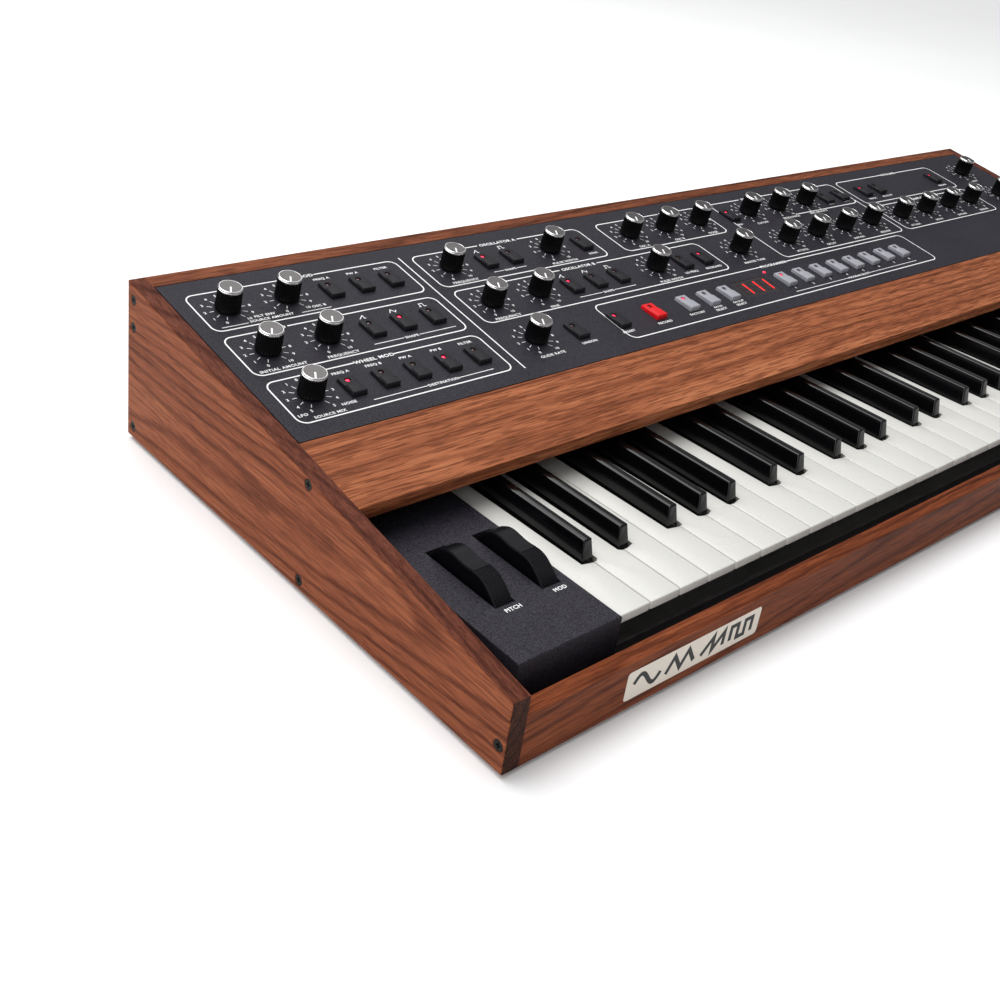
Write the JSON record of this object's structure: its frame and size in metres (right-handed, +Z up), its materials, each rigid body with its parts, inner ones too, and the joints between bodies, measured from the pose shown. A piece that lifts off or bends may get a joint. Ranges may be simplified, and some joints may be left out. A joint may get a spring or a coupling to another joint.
{
  "type": "synthesizer",
  "caption": "Analogue-style keyboard synthesizer in a walnut case with a sloping black control panel, ribbed knobs, push buttons, bend and modulation wheels and a full-size keyboard.",
  "frame": {"origin": "on the ground under the middle of the case (centre of the bounding box in plan, underside of the feet)", "axes": "+X along the keyboard to the treble end, +Y from the player to the rear, +Z up"},
  "size_m": [0.964, 0.364, 0.1179],
  "materials": {
    "walnut_side": "oiled, dark reddish walnut",
    "walnut_rail": "oiled walnut",
    "walnut_strip": "oiled, lighter walnut",
    "black_steel": "fine texture powder coat",
    "zinc_steel": "zinc plated",
    "circuit_board": "solder mask",
    "black_plastic": "moulded",
    "knob_plastic": "ribbed, aluminium inlay on top",
    "ivory_plastic": "satin white",
    "ebony_plastic": "glossy black",
    "grey_plastic": "moulded grey",
    "red_plastic": "moulded red",
    "smoked_window": "smoked",
    "cream_plate": "satin cream",
    "black_screw": "black oxide",
    "rubber_foot": "black"
  },
  "bodies": {
    "case": {"left_side_panel": "walnut_side", "right_side_panel": "walnut_side", "front_rail": "walnut_rail", "middle_rail": "walnut_strip", "rear_rail": "walnut_rail", "base_pan": "black_steel", "rear_panel": "black_steel", "control_panel": "black_steel", "wheel_box": "black_steel", "key_end_block": "black_steel", "keybed_frame": "zinc_steel", "key_contact_board": "circuit_board", "panel_board": "circuit_board", "voice_board": "circuit_board", "wheel_bracket": "zinc_steel", "rear_jacks": "black_plastic", "midi_sockets": "black_plastic", "power_inlet": "black_plastic", "display_window": "smoked_window", "name_plate": "cream_plate", "case_screws": "black_screw", "feet": "rubber_foot"},
    "knob_poly_mod_envelope_body": {"knob_poly_mod_envelope": "knob_plastic"},
    "knob_poly_mod_oscillator_body": {"knob_poly_mod_oscillator": "knob_plastic"},
    "knob_lfo_initial_amount_body": {"knob_lfo_initial_amount": "knob_plastic"},
    "knob_lfo_frequency_body": {"knob_lfo_frequency": "knob_plastic"},
    "knob_wheel_mod_mix_body": {"knob_wheel_mod_mix": "knob_plastic"},
    "knob_oscillator_a_frequency_body": {"knob_oscillator_a_frequency": "knob_plastic"},
    "knob_oscillator_a_pulse_width_body": {"knob_oscillator_a_pulse_width": "knob_plastic"},
    "knob_oscillator_b_frequency_body": {"knob_oscillator_b_frequency": "knob_plastic"},
    "knob_oscillator_b_fine_body": {"knob_oscillator_b_fine": "knob_plastic"},
    "knob_oscillator_b_pulse_width_body": {"knob_oscillator_b_pulse_width": "knob_plastic"},
    "knob_glide_body": {"knob_glide": "knob_plastic"},
    "knob_mixer_oscillator_a_body": {"knob_mixer_oscillator_a": "knob_plastic"},
    "knob_mixer_oscillator_b_body": {"knob_mixer_oscillator_b": "knob_plastic"},
    "knob_mixer_noise_body": {"knob_mixer_noise": "knob_plastic"},
    "knob_master_tune_body": {"knob_master_tune": "knob_plastic"},
    "knob_filter_cutoff_body": {"knob_filter_cutoff": "knob_plastic"},
    "knob_filter_resonance_body": {"knob_filter_resonance": "knob_plastic"},
    "knob_filter_envelope_amount_body": {"knob_filter_envelope_amount": "knob_plastic"},
    "knob_filter_attack_body": {"knob_filter_attack": "knob_plastic"},
    "knob_filter_decay_body": {"knob_filter_decay": "knob_plastic"},
    "knob_filter_sustain_body": {"knob_filter_sustain": "knob_plastic"},
    "knob_filter_release_body": {"knob_filter_release": "knob_plastic"},
    "knob_amplifier_attack_body": {"knob_amplifier_attack": "knob_plastic"},
    "knob_amplifier_decay_body": {"knob_amplifier_decay": "knob_plastic"},
    "knob_amplifier_sustain_body": {"knob_amplifier_sustain": "knob_plastic"},
    "knob_amplifier_release_body": {"knob_amplifier_release": "knob_plastic"},
    "knob_vintage_body": {"knob_vintage": "knob_plastic"},
    "knob_volume_body": {"knob_volume": "knob_plastic"},
    "pitch_wheel_body": {"pitch_wheel": "black_plastic"},
    "mod_wheel_body": {"mod_wheel": "black_plastic"},
    "power_rocker_body": {"power_rocker": "black_plastic"},
    "keys_natural_odd_body": {"keys_natural_odd": "ivory_plastic"},
    "keys_natural_even_body": {"keys_natural_even": "ivory_plastic"},
    "keys_sharp_body": {"keys_sharp": "ebony_plastic"},
    "mod_switches_body": {"mod_switches": "black_plastic"},
    "voice_switches_body": {"voice_switches": "black_plastic"},
    "program_switches_body": {"program_switches": "grey_plastic"},
    "record_switch_body": {"record_switch": "red_plastic"}
  },
  "joints": [
    {"name": "pitch_wheel_turn", "type": "hinge", "parent": "case", "child": "pitch_wheel_body", "pos_m": [-0.436, -0.0969, 0.0244], "axis": [1, 0, 0], "range_deg": [-24, 24], "stiffness_Nm_per_rad": 0.2},
    {"name": "mod_wheel_turn", "type": "hinge", "parent": "case", "child": "mod_wheel_body", "pos_m": [-0.4038, -0.0969, 0.0244], "axis": [1, 0, 0], "range_deg": [-24, 24]},
    {"name": "power_rocker_tilt", "type": "hinge", "parent": "case", "child": "power_rocker_body", "pos_m": [0.412, 0.175, 0.036], "axis": [1, 0, 0], "range_deg": [-12, 12]},
    {"name": "keys_natural_odd_press", "type": "hinge", "parent": "case", "child": "keys_natural_odd_body", "pos_m": [0, -0.004, 0.033], "axis": [1, 0, 0], "range_deg": [0, 3.2], "stiffness_Nm_per_rad": 12, "springref_deg": -11.46},
    {"name": "keys_natural_even_press", "type": "hinge", "parent": "case", "child": "keys_natural_even_body", "pos_m": [0, -0.004, 0.033], "axis": [1, 0, 0], "range_deg": [0, 3.2], "stiffness_Nm_per_rad": 12, "springref_deg": -11.46},
    {"name": "keys_sharp_press", "type": "hinge", "parent": "case", "child": "keys_sharp_body", "pos_m": [0, -0.004, 0.033], "axis": [1, 0, 0], "range_deg": [0, 3.2], "stiffness_Nm_per_rad": 12, "springref_deg": -11.46},
    {"name": "mod_switches_press", "type": "slide", "parent": "case", "child": "mod_switches_body", "axis": [0, 0.1705, -0.9854], "range_m": [0, 0.0008], "stiffness_N_per_m": 2000, "springref_m": -0.001},
    {"name": "voice_switches_press", "type": "slide", "parent": "case", "child": "voice_switches_body", "axis": [0, 0.1705, -0.9854], "range_m": [0, 0.0008], "stiffness_N_per_m": 2000, "springref_m": -0.001},
    {"name": "program_switches_press", "type": "slide", "parent": "case", "child": "program_switches_body", "axis": [0, 0.1705, -0.9854], "range_m": [0, 0.0008], "stiffness_N_per_m": 2000, "springref_m": -0.001},
    {"name": "record_switch_press", "type": "slide", "parent": "case", "child": "record_switch_body", "axis": [0, 0.1705, -0.9854], "range_m": [0, 0.0008], "stiffness_N_per_m": 2000, "springref_m": -0.001},
    {"name": "turn_poly_mod_envelope", "type": "hinge", "parent": "case", "child": "knob_poly_mod_envelope_body", "pos_m": [-0.4405, 0.13627, 0.10058], "axis": [0, 0.1705, -0.9854], "range_deg": [0, 300]},
    {"name": "turn_poly_mod_oscillator", "type": "hinge", "parent": "case", "child": "knob_poly_mod_oscillator_body", "pos_m": [-0.3985, 0.13627, 0.10058], "axis": [0, 0.1705, -0.9854], "range_deg": [0, 300]},
    {"name": "turn_lfo_initial_amount", "type": "hinge", "parent": "case", "child": "knob_lfo_initial_amount_body", "pos_m": [-0.4405, 0.09045, 0.09266], "axis": [0, 0.1705, -0.9854], "range_deg": [0, 300]},
    {"name": "turn_lfo_frequency", "type": "hinge", "parent": "case", "child": "knob_lfo_frequency_body", "pos_m": [-0.3985, 0.09045, 0.09266], "axis": [0, 0.1705, -0.9854], "range_deg": [0, 300]},
    {"name": "turn_wheel_mod_mix", "type": "hinge", "parent": "case", "child": "knob_wheel_mod_mix_body", "pos_m": [-0.4405, 0.04512, 0.08481], "axis": [0, 0.1705, -0.9854], "range_deg": [0, 300]},
    {"name": "turn_oscillator_a_frequency", "type": "hinge", "parent": "case", "child": "knob_oscillator_a_frequency_body", "pos_m": [-0.265, 0.13627, 0.10058], "axis": [0, 0.1705, -0.9854], "range_deg": [0, 300]},
    {"name": "turn_oscillator_a_pulse_width", "type": "hinge", "parent": "case", "child": "knob_oscillator_a_pulse_width_body", "pos_m": [-0.169, 0.13627, 0.10058], "axis": [0, 0.1705, -0.9854], "range_deg": [0, 300]},
    {"name": "turn_oscillator_b_frequency", "type": "hinge", "parent": "case", "child": "knob_oscillator_b_frequency_body", "pos_m": [-0.265, 0.09045, 0.09266], "axis": [0, 0.1705, -0.9854], "range_deg": [0, 300]},
    {"name": "turn_oscillator_b_fine", "type": "hinge", "parent": "case", "child": "knob_oscillator_b_fine_body", "pos_m": [-0.2215, 0.09045, 0.09266], "axis": [0, 0.1705, -0.9854], "range_deg": [0, 300]},
    {"name": "turn_oscillator_b_pulse_width", "type": "hinge", "parent": "case", "child": "knob_oscillator_b_pulse_width_body", "pos_m": [-0.099, 0.09045, 0.09266], "axis": [0, 0.1705, -0.9854], "range_deg": [0, 300]},
    {"name": "turn_glide", "type": "hinge", "parent": "case", "child": "knob_glide_body", "pos_m": [-0.265, 0.04512, 0.08481], "axis": [0, 0.1705, -0.9854], "range_deg": [0, 300]},
    {"name": "turn_mixer_oscillator_a", "type": "hinge", "parent": "case", "child": "knob_mixer_oscillator_a_body", "pos_m": [-0.082, 0.13627, 0.10058], "axis": [0, 0.1705, -0.9854], "range_deg": [0, 300]},
    {"name": "turn_mixer_oscillator_b", "type": "hinge", "parent": "case", "child": "knob_mixer_oscillator_b_body", "pos_m": [-0.04, 0.13627, 0.10058], "axis": [0, 0.1705, -0.9854], "range_deg": [0, 300]},
    {"name": "turn_mixer_noise", "type": "hinge", "parent": "case", "child": "knob_mixer_noise_body", "pos_m": [0.002, 0.13627, 0.10058], "axis": [0, 0.1705, -0.9854], "range_deg": [0, 300]},
    {"name": "turn_master_tune", "type": "hinge", "parent": "case", "child": "knob_master_tune_body", "pos_m": [0.002, 0.09045, 0.09266], "axis": [0, 0.1705, -0.9854], "range_deg": [0, 300]},
    {"name": "turn_filter_cutoff", "type": "hinge", "parent": "case", "child": "knob_filter_cutoff_body", "pos_m": [0.069, 0.13627, 0.10058], "axis": [0, 0.1705, -0.9854], "range_deg": [0, 300]},
    {"name": "turn_filter_resonance", "type": "hinge", "parent": "case", "child": "knob_filter_resonance_body", "pos_m": [0.11, 0.13627, 0.10058], "axis": [0, 0.1705, -0.9854], "range_deg": [0, 300]},
    {"name": "turn_filter_envelope_amount", "type": "hinge", "parent": "case", "child": "knob_filter_envelope_amount_body", "pos_m": [0.151, 0.13627, 0.10058], "axis": [0, 0.1705, -0.9854], "range_deg": [0, 300]},
    {"name": "turn_filter_attack", "type": "hinge", "parent": "case", "child": "knob_filter_attack_body", "pos_m": [0.067, 0.09045, 0.09266], "axis": [0, 0.1705, -0.9854], "range_deg": [0, 300]},
    {"name": "turn_filter_decay", "type": "hinge", "parent": "case", "child": "knob_filter_decay_body", "pos_m": [0.109, 0.09045, 0.09266], "axis": [0, 0.1705, -0.9854], "range_deg": [0, 300]},
    {"name": "turn_filter_sustain", "type": "hinge", "parent": "case", "child": "knob_filter_sustain_body", "pos_m": [0.151, 0.09045, 0.09266], "axis": [0, 0.1705, -0.9854], "range_deg": [0, 300]},
    {"name": "turn_filter_release", "type": "hinge", "parent": "case", "child": "knob_filter_release_body", "pos_m": [0.193, 0.09045, 0.09266], "axis": [0, 0.1705, -0.9854], "range_deg": [0, 300]},
    {"name": "turn_amplifier_attack", "type": "hinge", "parent": "case", "child": "knob_amplifier_attack_body", "pos_m": [0.244, 0.09045, 0.09266], "axis": [0, 0.1705, -0.9854], "range_deg": [0, 300]},
    {"name": "turn_amplifier_decay", "type": "hinge", "parent": "case", "child": "knob_amplifier_decay_body", "pos_m": [0.286, 0.09045, 0.09266], "axis": [0, 0.1705, -0.9854], "range_deg": [0, 300]},
    {"name": "turn_amplifier_sustain", "type": "hinge", "parent": "case", "child": "knob_amplifier_sustain_body", "pos_m": [0.328, 0.09045, 0.09266], "axis": [0, 0.1705, -0.9854], "range_deg": [0, 300]},
    {"name": "turn_amplifier_release", "type": "hinge", "parent": "case", "child": "knob_amplifier_release_body", "pos_m": [0.37, 0.09045, 0.09266], "axis": [0, 0.1705, -0.9854], "range_deg": [0, 300]},
    {"name": "turn_vintage", "type": "hinge", "parent": "case", "child": "knob_vintage_body", "pos_m": [0.429, 0.13627, 0.10058], "axis": [0, 0.1705, -0.9854], "range_deg": [0, 300]},
    {"name": "turn_volume", "type": "hinge", "parent": "case", "child": "knob_volume_body", "pos_m": [0.429, 0.09045, 0.09266], "axis": [0, 0.1705, -0.9854], "range_deg": [0, 300]}
  ]
}
